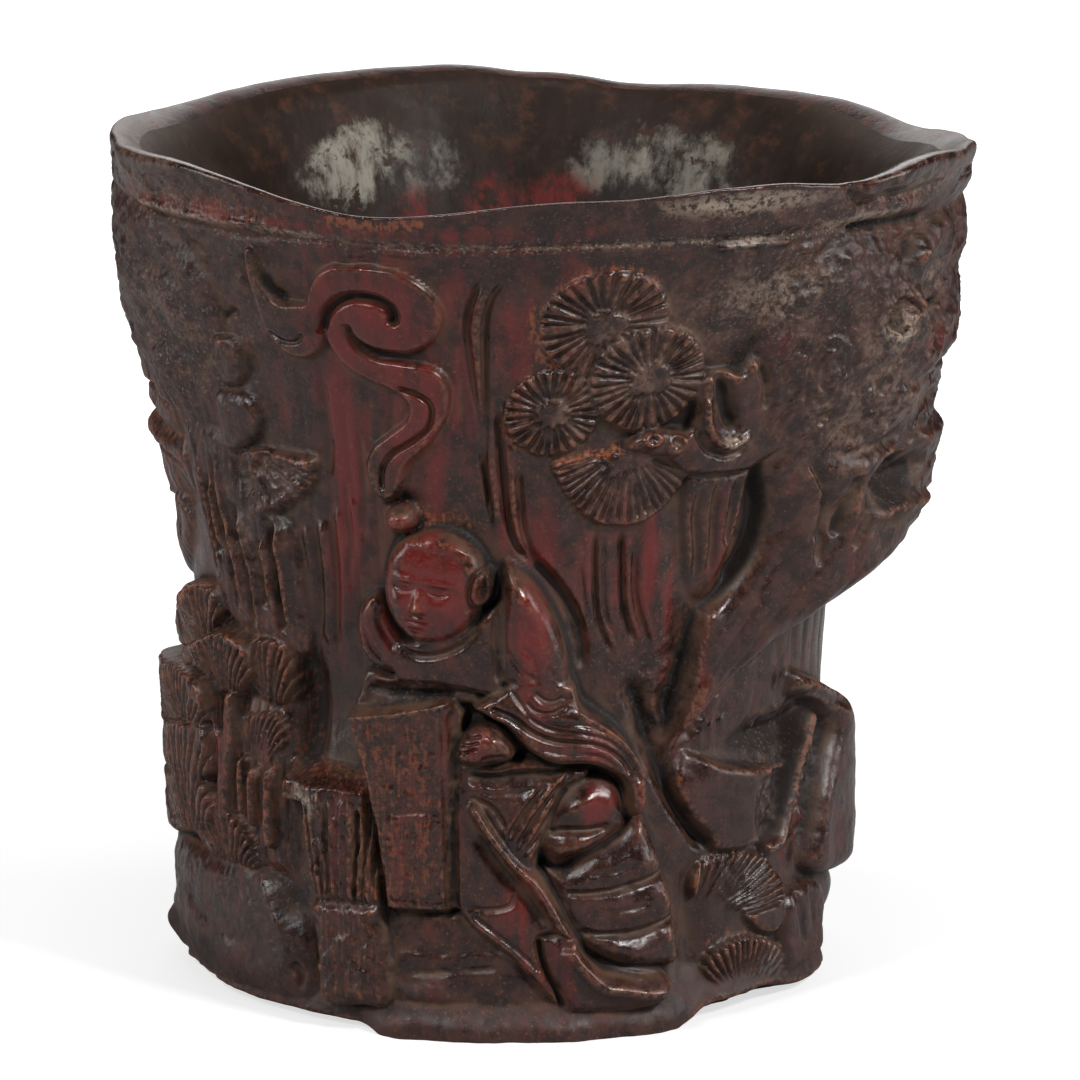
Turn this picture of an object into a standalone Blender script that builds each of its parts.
"""Carved libation cup: a flared wall, a floor disc let into its foot, and the relief that stands on the wall.

Metres, +Z up. The origin is the middle of the flat underside, and the seated reader faces -Y.
The relief is drawn on the unrolled wall: u runs round it to the right from the front, v runs up it.
"""

import math

import bmesh
import bpy
from mathutils import Vector

# Driving dimensions
CUP_HEIGHT = 0.100
FOOT_RADIUS = 0.037
RIM_RADIUS = 0.0515
STRAIGHT_HEIGHT = 0.030
RIM_LEAN = 0.004
WALL_AT_FOOT = 0.0055
WALL_AT_RIM = 0.0032
LIP_ROUND = 0.0012
RIM_GROOVE_DROP = 0.0055
RIM_GROOVE_DEPTH = 0.0007
FOOT_CHAMFER = 0.0010
FOOT_SPREAD = 0.0034
LIP_SLOPE = 0.4
LIP_BACKING = 0.0008
SEAT_WIDTH = 0.0020
PLUG_THICKNESS = 0.0050
PLUG_DISH = 0.0006
SEAT_CLEARANCE = 0.0003

# How far the kinds of relief stand off the wall
RELIEF_CLEARANCE = 0.0003
VEIL = 0.0014
LOW = 0.0024
MIDDLE = 0.0036
HIGH = 0.0048
PROUD = 0.0070
BOLD = 0.0090

# The unrolled wall on which the relief is drawn: about one unit to a millimetre
UNITS_AROUND = 250
UNITS_HIGH = 100
STRIP_ACROSS = 5
STRIP_UP = 8
EDGE_SHARE = 0.55

# Facets round the wall, and the levels of its rings as shares of its height
WALL_FACETS = 72
PLUG_FACETS = 48
OUTER_LEVELS = (0.055, 0.10, 0.17, 0.24, 0.32, 0.40, 0.48, 0.56, 0.64, 0.72, 0.79, 0.85, 0.90)
INNER_LEVELS = (0.94, 0.88, 0.80, 0.70, 0.60, 0.50, 0.40, 0.30, 0.20, 0.11)

# The wavy lip: angle in degrees round from the front, and rise over the cup's height
LIP_WAVE = (
    (-180, -0.0010), (-165, 0.0002), (-150, 0.0002), (-120, 0.0000), (-92, -0.0003), (-55, 0.0020), (-23, -0.0018),
    (5, 0.0008), (28, 0.0018), (43, 0.0007), (58, 0.0022), (78, 0.0010), (98, -0.0010), (116, -0.0024),
    (135, -0.0014), (150, -0.0016), (166, -0.0021), (180, -0.0010),
)

# The lip's breadth as a share of the wall at the rim, and how far the foot spreads as a share of its most
LIP_BREADTH = (
    (-180, 0.81), (-120, 1.38), (-75, 1.56), (-45, 0.64), (-22, 0.60), (18, 0.60), (40, 0.69), (62, 1.38),
    (110, 1.38), (180, 0.81),
)
FOOT_LOBES = (
    (-180, 0.30), (-100, 0.35), (-30, 0.40), (-17, 1.00), (24, 1.00), (37, 0.40), (70, 0.35), (82, 0.10),
    (110, 0.10), (130, 0.30), (180, 0.30),
)

# Hollows and swellings of the bare wall, and knobs on the left cliff: place, half width, half height, rise
WALL_HOLLOWS = (
    (-24.0, 38.0, 5.2, 9.0, -0.0020), (20.6, 39.6, 4.8, 9.0, -0.0022), (15.4, 53.0, 3.8, 9.0, 0.0012),
    (29.2, 60.0, 3.6, 8.0, -0.0020), (36.0, 32.4, 6.0, 6.0, -0.0016),
)
CLIFF_KNOBS = (
    (-64.0, 80.0, 8.0, 7.0, 0.0010), (-62.0, 64.6, 8.0, 5.0, 0.0008), (-50.0, 86.0, 6.0, 6.0, 0.0012),
    (-46.0, 76.0, 6.0, 6.0, 0.0014), (-56.0, 72.0, 7.0, 5.0, -0.0010), (-42.0, 84.0, 5.0, 5.0, 0.0010),
)

# Colours
HORN_DARK = ((0.050, 0.030, 0.026), 0.36)
HORN_RED = ((0.115, 0.034, 0.028), 0.32)
HORN_BARK = ((0.075, 0.040, 0.028), 0.42)
HORN_FLOOR = ((0.060, 0.042, 0.034), 0.50)


def clear_scene():
    for thing in list(bpy.data.objects):
        bpy.data.objects.remove(thing, do_unlink=True)


def make_material(name, look):
    colour, roughness = look
    material = bpy.data.materials.new(name)
    material.use_nodes = True
    shader = material.node_tree.nodes["Principled BSDF"]
    shader.inputs["Base Color"].default_value = (*colour, 1.0)
    shader.inputs["Roughness"].default_value = roughness
    shader.inputs["Metallic"].default_value = 0.0
    return material


def make_object(name, mesh_data, material):
    bmesh.ops.recalc_face_normals(mesh_data, faces=mesh_data.faces[:])
    if mesh_data.calc_volume(signed=True) < 0:
        bmesh.ops.reverse_faces(mesh_data, faces=mesh_data.faces[:])
    mesh = bpy.data.meshes.new(name)
    mesh_data.to_mesh(mesh)
    mesh_data.free()
    mesh.materials.append(material)
    bpy.context.scene.collection.objects.link(bpy.data.objects.new(name, mesh))


def flare(z):
    rise = max(0.0, (z - STRAIGHT_HEIGHT) / (CUP_HEIGHT - STRAIGHT_HEIGHT))
    return rise * rise


def wall_point(angle, z, out):
    """A point of the plain flared wall, moved out from it along the radius."""
    radius = FOOT_RADIUS + (RIM_RADIUS - FOOT_RADIUS) * flare(z) + out
    return Vector((RIM_LEAN * flare(z) + radius * math.sin(angle), -radius * math.cos(angle), z))


def around(knots, angle):
    """The value at an angle of a curve given at a few places round the cup."""
    degrees = (math.degrees(angle) + 180) % 360 - 180
    for (start, low), (end, high) in zip(knots, knots[1:]):
        if start <= degrees <= end:
            share = (1 - math.cos(math.pi * (degrees - start) / (end - start))) / 2
            return low + (high - low) * share
    return knots[0][1]


def bell(place, knobs):
    """The sum of rounded bumps and hollows at a place on the unrolled wall."""
    total = 0.0
    for centre_u, centre_v, half_width, half_height, rise in knobs:
        away = min(1.0, math.hypot((place[0] - centre_u) / half_width, (place[1] - centre_v) / half_height))
        total += rise * (1 + math.cos(math.pi * away)) / 2
    return total


def bare_wall(angle, level):
    """How far the bare wall swells or sinks between the motifs."""
    u = UNITS_AROUND * ((angle / math.tau + 0.5) % 1.0 - 0.5)
    return bell((u, UNITS_HIGH * level), WALL_HOLLOWS)


def outside_point(angle, z, out):
    """A point off the wall's outside, which spreads in lobes towards the foot."""
    top = CUP_HEIGHT * OUTER_LEVELS[0]
    share = min(1.0, max(0.0, (top - z) / (top - FOOT_CHAMFER)))
    return wall_point(angle, z, out + FOOT_SPREAD * around(FOOT_LOBES, angle) * share)


def lip_breadth(angle):
    return WALL_AT_RIM * around(LIP_BREADTH, angle)


def wall_thickness(angle, z):
    at_rim = max(WALL_AT_RIM, lip_breadth(angle) + LIP_BACKING)
    return WALL_AT_FOOT + (at_rim - WALL_AT_FOOT) * min(1.0, z / CUP_HEIGHT)


def bore_radius():
    return FOOT_RADIUS - WALL_AT_FOOT


def seat_radius():
    return bore_radius() + SEAT_WIDTH


def seat_height():
    return PLUG_THICKNESS + SEAT_CLEARANCE


def wall_section(angle):
    """The closed section of the wall at one angle, up the outside, over the lip and down the inside."""
    lift = around(LIP_WAVE, angle)
    breadth = lip_breadth(angle)
    slope = LIP_SLOPE * breadth

    def at(z, out):
        return wall_point(angle, z + lift * flare(z), out)

    groove = CUP_HEIGHT - RIM_GROOVE_DROP
    section = [outside_point(angle, 0.0, -FOOT_CHAMFER), outside_point(angle, FOOT_CHAMFER, 0.0)]
    section += [at(CUP_HEIGHT * level, bare_wall(angle, level)) for level in OUTER_LEVELS]
    section += [at(groove - RIM_GROOVE_DEPTH, 0.0), at(groove, -RIM_GROOVE_DEPTH), at(groove + RIM_GROOVE_DEPTH, 0.0)]
    section += [at(CUP_HEIGHT - LIP_ROUND, 0.0), at(CUP_HEIGHT, -LIP_ROUND * 0.5)]
    section += [at(CUP_HEIGHT - slope * 0.5, LIP_ROUND * 0.5 - breadth), at(CUP_HEIGHT - slope - LIP_ROUND, -breadth)]
    section += [at(CUP_HEIGHT * level, -wall_thickness(angle, CUP_HEIGHT * level)) for level in INNER_LEVELS]
    for radius, z in ((bore_radius(), seat_height()), (seat_radius(), seat_height()), (seat_radius(), 0.0)):
        section.append(wall_point(angle, z, radius - FOOT_RADIUS))
    return section


def make_wall(material):
    body = bmesh.new()
    sections = []
    for facet in range(WALL_FACETS):
        angle = math.tau * facet / WALL_FACETS
        sections.append([body.verts.new(point) for point in wall_section(angle)])
    count = len(sections[0])
    for facet in range(WALL_FACETS):
        here = sections[facet]
        there = sections[(facet + 1) % WALL_FACETS]
        for step in range(count):
            after = (step + 1) % count
            body.faces.new((here[step], there[step], there[after], here[after]))
    make_object("cup_wall", body, material)


def make_floor_plug(material):
    """The disc let into the foot from below, with its top slightly dished."""
    radius = seat_radius() - SEAT_CLEARANCE
    rings = ((radius - FOOT_CHAMFER, 0.0), (radius, FOOT_CHAMFER), (radius, PLUG_THICKNESS))
    rings += ((bore_radius() * 0.9, PLUG_THICKNESS), (bore_radius() * 0.6, PLUG_THICKNESS - PLUG_DISH))
    body = bmesh.new()
    loops = []
    for ring_radius, z in rings:
        loop = []
        for facet in range(PLUG_FACETS):
            angle = math.tau * facet / PLUG_FACETS
            loop.append(body.verts.new((ring_radius * math.sin(angle), -ring_radius * math.cos(angle), z)))
        loops.append(loop)
    for low, high in zip(loops, loops[1:]):
        for facet in range(PLUG_FACETS):
            after = (facet + 1) % PLUG_FACETS
            body.faces.new((low[facet], low[after], high[after], high[facet]))
    body.faces.new(loops[0])
    body.faces.new(loops[-1])
    make_object("floor_plug", body, material)


def oval(centre, half_width, half_height, points=16, start=0, end=360):
    """An oval outline, or a slice of one when start and end are less than a turn apart."""
    whole = end - start == 360
    steps = points if whole else points - 1
    outline = []
    for index in range(points):
        angle = math.radians(start + (end - start) * index / steps)
        outline.append((centre[0] + half_width * math.cos(angle), centre[1] + half_height * math.sin(angle)))
    return outline


def ribbon(path, width):
    """The outline of a band of one width along a path."""
    left = []
    right = []
    for index, (u, v) in enumerate(path):
        before = path[max(index - 1, 0)]
        after = path[min(index + 1, len(path) - 1)]
        along = Vector((after[0] - before[0], after[1] - before[1])).normalized()
        left.append((u - along.y * width / 2, v + along.x * width / 2))
        right.append((u + along.y * width / 2, v - along.x * width / 2))
    return left + right[::-1]


def edge_distance(point, outline):
    nearest = 1e9
    for start, end in zip(outline, outline[1:] + outline[:1]):
        side = Vector((end[0] - start[0], end[1] - start[1]))
        offset = Vector((point.x - start[0], point.y - start[1]))
        share = min(1.0, max(0.0, offset.dot(side) / side.length_squared))
        nearest = min(nearest, (offset - side * share).length)
    return nearest


def crown(distance, width):
    """The share of the full rise at a distance in from the outline: a quarter round on a low edge."""
    across = min(1.0, distance / width)
    return EDGE_SHARE + (1 - EDGE_SHARE) * math.sqrt(1 - (1 - across) ** 2)


def cut_into_strips(sheet, outline):
    """Cuts the flat drawing into small faces, so that it can bend round the wall."""
    for axis, strip in ((0, STRIP_ACROSS), (1, STRIP_UP)):
        low = min(point[axis] for point in outline)
        high = max(point[axis] for point in outline)
        normal = Vector((1 - axis, axis, 0))
        pieces = max(1, math.ceil((high - low) / strip))
        for index in range(1, pieces):
            place = normal * (low + (high - low) * index / pieces)
            everything = sheet.verts[:] + sheet.edges[:] + sheet.faces[:]
            bmesh.ops.bisect_plane(sheet, geom=everything, dist=0.08, plane_co=place, plane_no=normal)


def carve(name, outline, rise, material, crown_width=1.2, rings=1, far_rise=None, knobs=()):
    """A closed solid on the wall: drawn flat, crowned, and wrapped round it with its clearance.

    With a far rise, the height grows from the drawing's left end to its right end. Knobs add to it."""
    left = min(point[0] for point in outline)
    right = max(point[0] for point in outline)
    growth = 0.0 if far_rise is None else far_rise - rise
    sheet = bmesh.new()
    face = sheet.faces.new([sheet.verts.new((u, v, 0)) for u, v in outline])
    for _ in range(rings):
        bmesh.ops.inset_region(sheet, faces=[face], thickness=crown_width / rings, use_even_offset=True)
    cut_into_strips(sheet, outline)
    bmesh.ops.triangulate(sheet, faces=sheet.faces[:])
    raised = bmesh.ops.extrude_face_region(sheet, geom=sheet.faces[:])["geom"]
    tops = {vertex for vertex in raised if isinstance(vertex, bmesh.types.BMVert)}
    for vertex in sheet.verts:
        out = RELIEF_CLEARANCE
        if vertex in tops:
            height = rise + growth * (vertex.co.x - left) / (right - left) + bell(vertex.co, knobs)
            out += height * crown(edge_distance(vertex.co, outline), crown_width)
        angle = math.tau * vertex.co.x / UNITS_AROUND
        vertex.co = outside_point(angle, CUP_HEIGHT * vertex.co.y / UNITS_HIGH, out)
    make_object(name, sheet, material)


def carve_reader(material):
    """The seated reader, their book and their robe."""
    carve("reader_head", oval((-9.3, 53.4), 6.3, 6.6, 18), PROUD, material, 3.9, 3)
    carve("reader_topknot", oval((-13.2, 62.0), 1.9, 1.8, 12), MIDDLE, material, 1.2, 2)
    back = [(-1.2, 55.6), (1.0, 54.8), (3.6, 52.2), (5.8, 48.4), (6.9, 44.6), (6.6, 42.2), (3.2, 41.4),
            (0.2, 43.4), (-1.2, 45.6)]
    carve("reader_right_shoulder", back, HIGH, material)
    front = [(-16.8, 52.0), (-18.6, 50.0), (-18.9, 47.0), (-17.6, 44.4), (-13.4, 44.2), (-13.0, 45.6),
             (-15.0, 48.6), (-16.2, 50.4)]
    carve("reader_left_shoulder", front, MIDDLE, material, 0.8)
    collar = [(-12.4, 45.4), (-9.2, 45.9), (-5.2, 46.8), (-3.2, 48.6), (-2.0, 47.4), (-2.0, 42.6), (-6.4, 42.4),
              (-11.6, 43.4)]
    carve("reader_collar", collar, HIGH, material, 0.8)
    far_sleeve = [(-16.8, 43.4), (-12.0, 42.6), (-6.8, 41.7), (-6.6, 40.9), (-12.0, 40.5), (-18.0, 39.6),
                  (-18.2, 41.0)]
    carve("reader_far_sleeve", far_sleeve, LOW, material, 0.3)
    carve("reader_book", [(-19.0, 38.2), (-7.2, 40.1), (-5.4, 38.6), (-5.9, 15.3), (-14.6, 15.3)], HIGH, material)
    carve("reader_hand", oval((-2.9, 35.2), 2.0, 2.1, 12), PROUD, material, 1.2, 2)
    sleeve = [(-3.4, 39.9), (0.4, 42.2), (3.4, 40.6), (7.4, 39.6), (12.8, 36.8), (16.2, 32.6), (16.6, 28.4),
              (15.0, 28.2), (13.4, 31.4), (10.8, 33.0), (5.6, 33.4), (2.6, 35.0), (0.2, 37.0), (-2.2, 38.6)]
    carve("reader_near_sleeve", sleeve, HIGH, material, 0.7)
    cuff = [(-5.2, 32.3), (0.6, 32.4), (4.6, 32.6), (8.0, 32.2), (4.2, 30.2), (0.4, 29.4), (-4.6, 30.4)]
    carve("reader_cuff", cuff, MIDDLE, material, 0.7)
    carve("reader_knee", oval((9.6, 28.0), 4.2, 3.4, 16), PROUD, material, 2.4, 2)
    lap = [(-4.8, 29.4), (0.6, 28.4), (4.2, 29.2), (4.9, 26.6), (3.2, 22.6), (0.6, 21.4), (-1.6, 24.2)]
    carve("reader_lap", lap, HIGH, material)
    skirt = [(-5.0, 27.4), (-2.0, 23.2), (0.6, 20.2), (3.4, 18.6), (6.2, 13.8), (9.6, 9.4), (11.2, 6.6), (9.6, 3.4),
             (6.2, 3.2), (2.2, 7.4), (-1.6, 12.6), (-4.6, 15.6)]
    carve("reader_skirt", skirt, HIGH, material)
    shoe = [(12.0, 7.4), (15.0, 7.6), (18.8, 6.8), (19.6, 5.0), (18.0, 3.4), (12.4, 3.2), (11.6, 5.0)]
    carve("reader_shoe", shoe, HIGH, material, 0.9)


def carve_ground(material):
    """The rocks, steps and stump that the reader sits among."""
    seat = [(3.9, 22.0), (7.0, 23.4), (12.8, 24.0), (16.6, 24.8), (18.6, 20.0), (20.0, 14.6), (20.4, 9.0), (13.4, 8.6),
            (10.6, 9.8), (7.4, 13.8), (4.6, 18.4)]
    carve("seat_rock", seat, MIDDLE, material)
    stump = [(-27.2, 28.0), (-22.0, 28.8), (-18.0, 28.2), (-16.6, 22.0), (-15.4, 15.0), (-15.0, 3.4), (-24.6, 3.4),
             (-25.8, 14.0), (-27.0, 22.0)]
    carve("tree_stump", stump, MIDDLE, material)
    carve("upper_step", [(-13.8, 14.2), (-6.4, 14.2), (-4.4, 12.4), (-3.4, 10.2), (-13.8, 9.6)], LOW, material, 0.8)
    carve("lower_step", [(-13.8, 8.8), (-2.6, 9.2), (1.4, 6.8), (3.2, 4.4), (-13.8, 4.4)], LOW, material, 0.8)
    facet = [(20.8, 29.4), (22.4, 32.4), (28.6, 30.2), (34.0, 29.2), (39.4, 28.4), (39.2, 26.4), (34.2, 26.0),
             (33.0, 20.4), (26.8, 20.2), (25.2, 22.4), (22.4, 25.4)]
    carve("facet_rock", facet, LOW, material)
    pillar = [(43.4, 35.4), (44.0, 38.2), (55.0, 34.2), (60.0, 31.2), (66.0, 27.0), (68.0, 21.0), (66.0, 14.0), (55.0, 12.8),
              (47.0, 14.6), (49.4, 22.0), (53.0, 29.4), (50.0, 33.0)]
    carve("pillar_rock", pillar, LOW, material, far_rise=HIGH)
    low_right = [(40.4, 12.6), (45.6, 12.8), (50.0, 11.2), (50.6, 8.0), (45.6, 3.6), (40.4, 3.6), (39.6, 9.0)]
    carve("low_rock_right", low_right, LOW, material)
    low_left = [(-70.0, 15.6), (-60.0, 16.2), (-50.0, 15.0), (-42.0, 14.0), (-35.0, 12.6), (-28.0, 9.0), (-28.0, 4.0),
                (-46.0, 3.4), (-70.0, 3.6)]
    carve("low_rock_left", low_left, LOW, material)
    cliff = [(-74.0, 56.0), (-62.0, 55.4), (-54.0, 58.0), (-49.4, 61.0), (-48.4, 65.8), (-47.2, 67.6), (-38.6, 70.8),
             (-37.8, 80.0), (-39.0, 88.0), (-45.0, 92.6), (-74.0, 92.0)]
    carve("cliff_left", cliff, MIDDLE, material, 5.0, 3, far_rise=VEIL, knobs=CLIFF_KNOBS)


def carve_leaves(material):
    """The leaf clusters and stems at the foot of the cup."""
    carve("left_leaf_1", [(-52.0, 44.0), (-47.0, 48.2), (-42.0, 48.6), (-38.2, 46.2), (-42.6, 45.2), (-46.6, 43.8)],
          MIDDLE, material, 0.7)
    carve("left_leaf_2", [(-47.6, 41.2), (-44.0, 42.9), (-40.4, 44.2), (-36.8, 43.6), (-36.4, 40.0), (-38.0, 37.6),
                          (-45.4, 37.8), (-48.0, 38.4)], MIDDLE, material)
    carve("left_leaf_3", [(-35.8, 44.2), (-29.4, 44.2), (-28.4, 40.6), (-30.2, 37.4), (-35.4, 37.6)], MIDDLE, material)
    carve("left_leaf_4", [(-39.0, 34.6), (-34.6, 36.0), (-30.0, 35.0), (-29.6, 32.0), (-31.8, 29.4), (-37.6, 29.8)],
          MIDDLE, material)
    carve("left_leaf_5", [(-47.6, 18.8), (-44.6, 21.4), (-40.6, 22.0), (-36.6, 20.8), (-33.4, 17.0), (-36.0, 14.9),
                          (-42.4, 16.6), (-47.8, 17.2)], MIDDLE, material, 0.8)
    carve("left_leaf_6", [(-68.0, 35.2), (-60.0, 36.4), (-52.6, 38.2), (-49.4, 36.6), (-48.6, 31.4), (-51.0, 28.8),
                          (-60.0, 28.6), (-68.0, 28.4)], HIGH, material)
    carve("left_leaf_7", [(-68.0, 27.4), (-53.0, 27.6), (-49.0, 26.4), (-48.4, 21.6), (-54.0, 18.4), (-68.0, 17.4)],
          HIGH, material)
    carve("left_stems", [(-46.8, 36.4), (-40.4, 36.6), (-40.0, 23.2), (-44.2, 23.0), (-46.0, 29.0)], LOW, material)
    carve("right_leaf_1", [(23.0, 16.2), (27.6, 18.6), (32.6, 18.8), (36.8, 15.8), (34.0, 14.2), (29.0, 13.4),
                           (25.0, 13.6)], LOW, material, 0.9)
    carve("right_leaf_2", [(25.0, 7.6), (29.6, 9.6), (34.0, 8.8), (37.0, 7.4), (36.0, 3.6), (26.4, 3.6)], LOW, material)


def carve_pine(material):
    """The leaning pine, its branch and its needle clusters."""
    low = [(23.4, 33.6), (24.2, 44.0), (25.4, 50.0), (30.8, 54.8), (32.6, 60.0), (41.0, 60.0), (47.0, 54.0), (47.0, 48.0),
           (38.0, 46.2), (32.6, 43.6), (28.6, 39.6), (26.4, 34.4)]
    carve("pine_trunk_low", low, LOW, material, 2.4, 2, far_rise=BOLD)
    high = [(27.2, 67.6), (31.6, 66.4), (33.4, 61.0), (41.0, 61.0), (44.0, 66.0), (43.4, 76.0), (40.0, 84.0), (31.0, 86.0),
            (26.6, 82.0), (27.0, 75.0)]
    carve("pine_trunk_high", high, LOW, material, 3.0, 2, far_rise=PROUD)
    limb = [(48.2, 59.0), (48.0, 50.0), (56.0, 51.0), (64.0, 53.6), (72.0, 57.0), (76.6, 61.6), (74.6, 64.4),
            (67.6, 60.4), (60.6, 56.8), (54.0, 57.8)]
    carve("pine_limb", limb, BOLD, material, 1.8, 2)
    burl = [(45.2, 66.0), (48.0, 61.0), (60.0, 58.6), (66.0, 61.6), (73.0, 66.0), (74.0, 74.0), (64.0, 75.4),
            (56.0, 76.0), (44.8, 75.0)]
    carve("pine_burl", burl, BOLD, material, 2.4, 2)
    crest = [(42.0, 85.0), (45.2, 77.4), (56.0, 77.6), (66.0, 76.8), (75.0, 76.0), (76.0, 85.0), (70.0, 90.4),
             (56.0, 92.0), (44.0, 90.0)]
    carve("pine_crest", crest, HIGH, material, 3.0, 2, far_rise=PROUD)
    branch = [(9.4, 71.4), (13.0, 71.9), (17.4, 71.6), (20.4, 74.6), (22.6, 72.4), (25.2, 74.8), (25.6, 68.4),
              (22.2, 67.6), (19.6, 69.6), (14.0, 69.9)]
    carve("pine_branch", branch, LOW, material, 0.5)
    curtain = [(19.4, 66.6), (25.0, 66.8), (26.6, 62.0), (26.0, 56.0), (23.4, 51.0), (20.8, 51.6), (19.2, 58.0)]
    carve("rock_curtain", curtain, VEIL, material)
    carve("pine_needles_a", oval((5.9, 87.6), 4.6, 4.7, 18), VEIL, material, 1.2, 2)
    carve("pine_needles_b", oval((12.4, 78.8), 5.6, 5.7, 20), VEIL, material, 1.2, 2)
    carve("pine_needles_c", oval((2.5, 75.0), 4.3, 4.8, 18), VEIL, material, 1.2, 2)
    carve("pine_needles_d", oval((11.2, 69.0), 7.2, 7.6, 13, 180, 360), VEIL, material, 1.2)
    trunk = [(-47.0, 65.4), (-41.0, 66.4), (-36.2, 60.0), (-34.6, 52.0), (-36.6, 47.4), (-41.8, 50.4), (-43.6, 58.0)]
    carve("left_old_trunk", trunk, LOW, material)
    fan = [(-36.0, 66.6), (-31.6, 67.2), (-24.6, 67.4), (-24.0, 64.0), (-28.4, 60.8), (-35.0, 60.4)]
    carve("left_needles", fan, LOW, material)
    carve("left_knot_upper", oval((-33.6, 78.2), 2.4, 2.8, 12), LOW, material, 1.4, 2)
    carve("left_knot_lower", oval((-33.4, 71.4), 3.0, 3.2, 12), LOW, material, 1.6, 2)


def carve_clouds(material):
    """The vapour that rises from the reader's topknot into a curled cloud."""
    curl = [(-28.4, 91.2), (-28.0, 87.4), (-25.4, 84.6), (-22.8, 86.2), (-20.8, 89.4), (-17.0, 90.4), (-13.2, 89.6),
            (-11.0, 87.0), (-11.6, 84.4), (-13.2, 83.4)]
    carve("cloud_curl", ribbon(curl, 3.0), VEIL, material, 0.6)
    stem = [(-15.6, 86.2), (-18.2, 86.0), (-19.4, 83.4), (-17.6, 80.9), (-13.6, 79.6), (-10.2, 78.6), (-9.0, 76.0),
            (-10.4, 73.2), (-13.4, 70.4), (-15.4, 67.6), (-15.0, 65.6)]
    carve("cloud_stem", ribbon(stem, 3.0), VEIL, material, 0.6)


def carve_back(bark, red):
    """The side away from the reader: a second pine over rocks, below a cloud."""
    trunk = [(92.0, 20.0), (99.0, 20.0), (98.0, 36.0), (101.0, 52.0), (106.0, 66.0), (100.0, 70.0), (94.0, 54.0),
             (91.0, 36.0)]
    carve("back_pine_trunk", trunk, HIGH, bark)
    carve("back_needles_a", oval((92.0, 78.0), 5.6, 5.7, 20), LOW, bark, 2.0, 2)
    carve("back_needles_b", oval((105.0, 80.0), 5.6, 5.7, 20), LOW, bark, 2.0, 2)
    rock_right = [(78.4, 4.0), (108.0, 4.0), (106.0, 14.0), (96.0, 17.0), (90.0, 14.6), (82.0, 18.6), (78.0, 15.0)]
    carve("back_rock_right", rock_right, MIDDLE, bark)
    rock_left = [(-108.0, 4.0), (-72.0, 4.0), (-72.0, 12.0), (-78.0, 20.4), (-90.0, 17.0), (-104.0, 20.0)]
    carve("back_rock_left", rock_left, MIDDLE, bark)
    crag = [(-107.0, 27.0), (-94.0, 25.4), (-83.4, 32.0), (-85.0, 46.0), (-90.0, 57.0), (-96.0, 60.0), (-104.0, 46.0)]
    carve("back_crag", crag, HIGH, bark)
    cloud = [(-79.0, 80.0), (-87.0, 84.6), (-95.0, 82.0), (-99.0, 76.6), (-107.0, 76.0), (-113.0, 80.0)]
    carve("back_cloud", ribbon(cloud, 3.4), VEIL, red, 0.6)


def main():
    clear_scene()
    dark = make_material("horn_dark", HORN_DARK)
    red = make_material("horn_red", HORN_RED)
    bark = make_material("horn_bark", HORN_BARK)
    make_wall(dark)
    make_floor_plug(make_material("horn_floor", HORN_FLOOR))
    carve_reader(red)
    carve_ground(bark)
    carve_leaves(bark)
    carve_pine(bark)
    carve_clouds(red)
    carve_back(bark, red)


main()
